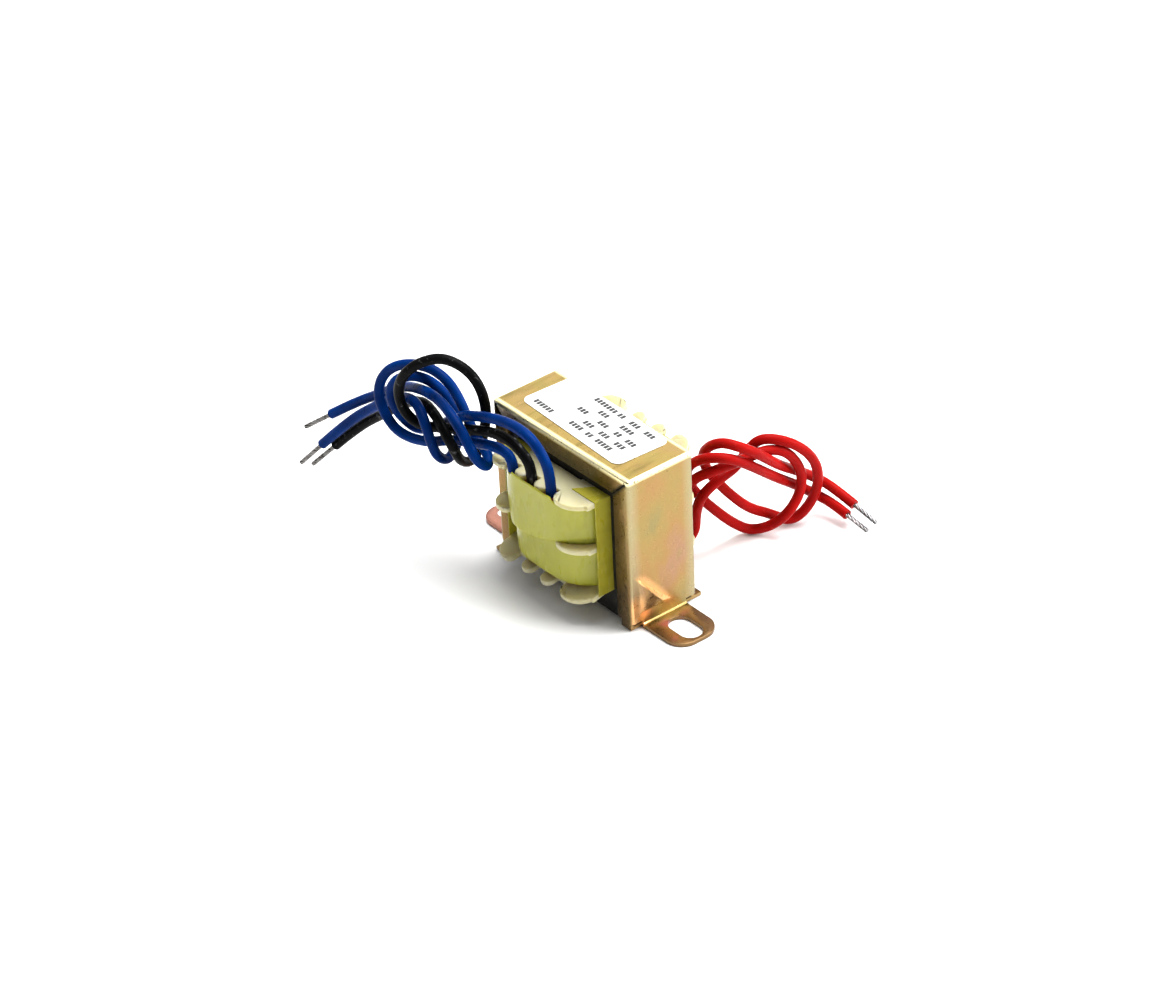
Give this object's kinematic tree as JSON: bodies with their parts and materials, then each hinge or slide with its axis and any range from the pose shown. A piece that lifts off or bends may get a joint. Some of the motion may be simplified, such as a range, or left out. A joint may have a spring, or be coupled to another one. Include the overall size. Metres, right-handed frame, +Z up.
{
  "type": "electrical transformer",
  "caption": "Small frame-mounted mains transformer: laminated core, split bobbin wrapped in yellow tape, folded steel frame with slotted ears, and knotted stranded leads.",
  "frame": {"origin": "middle of the underside, on the plane of the ears' undersides", "axes": "+X along the ears, -Y the side where the blue and black leads leave, +Z up"},
  "size_m": [0.0911, 0.0648, 0.0408],
  "materials": {
    "plated_steel": "yellow zinc passivated",
    "core_steel": "varnished sheet edges",
    "nylon": "natural translucent moulding",
    "copper_wire": "enamelled",
    "yellow_tape": "satin film",
    "white_label": "satin",
    "blue_pvc": "semi-gloss",
    "black_pvc": "semi-gloss",
    "red_pvc": "semi-gloss",
    "tinned_copper": "solder-tinned strands"
  },
  "bodies": {
    "root": {"mounting_frame": "plated_steel", "e_laminations": "core_steel", "i_laminations": "core_steel", "bobbin": "nylon", "secondary_winding": "copper_wire", "primary_winding": "copper_wire", "upper_tape_band": "yellow_tape", "lower_tape_band": "yellow_tape", "right_end_tape": "yellow_tape", "left_end_tape": "yellow_tape", "label": "white_label", "left_blue_lead": "blue_pvc", "right_blue_lead": "blue_pvc", "black_lead": "black_pvc", "lower_red_lead": "red_pvc", "upper_red_lead": "red_pvc", "left_blue_tinned_end": "tinned_copper", "black_tinned_end": "tinned_copper", "right_blue_tinned_end": "tinned_copper", "lower_red_tinned_end": "tinned_copper", "upper_red_tinned_end": "tinned_copper"}
  },
  "joints": []
}
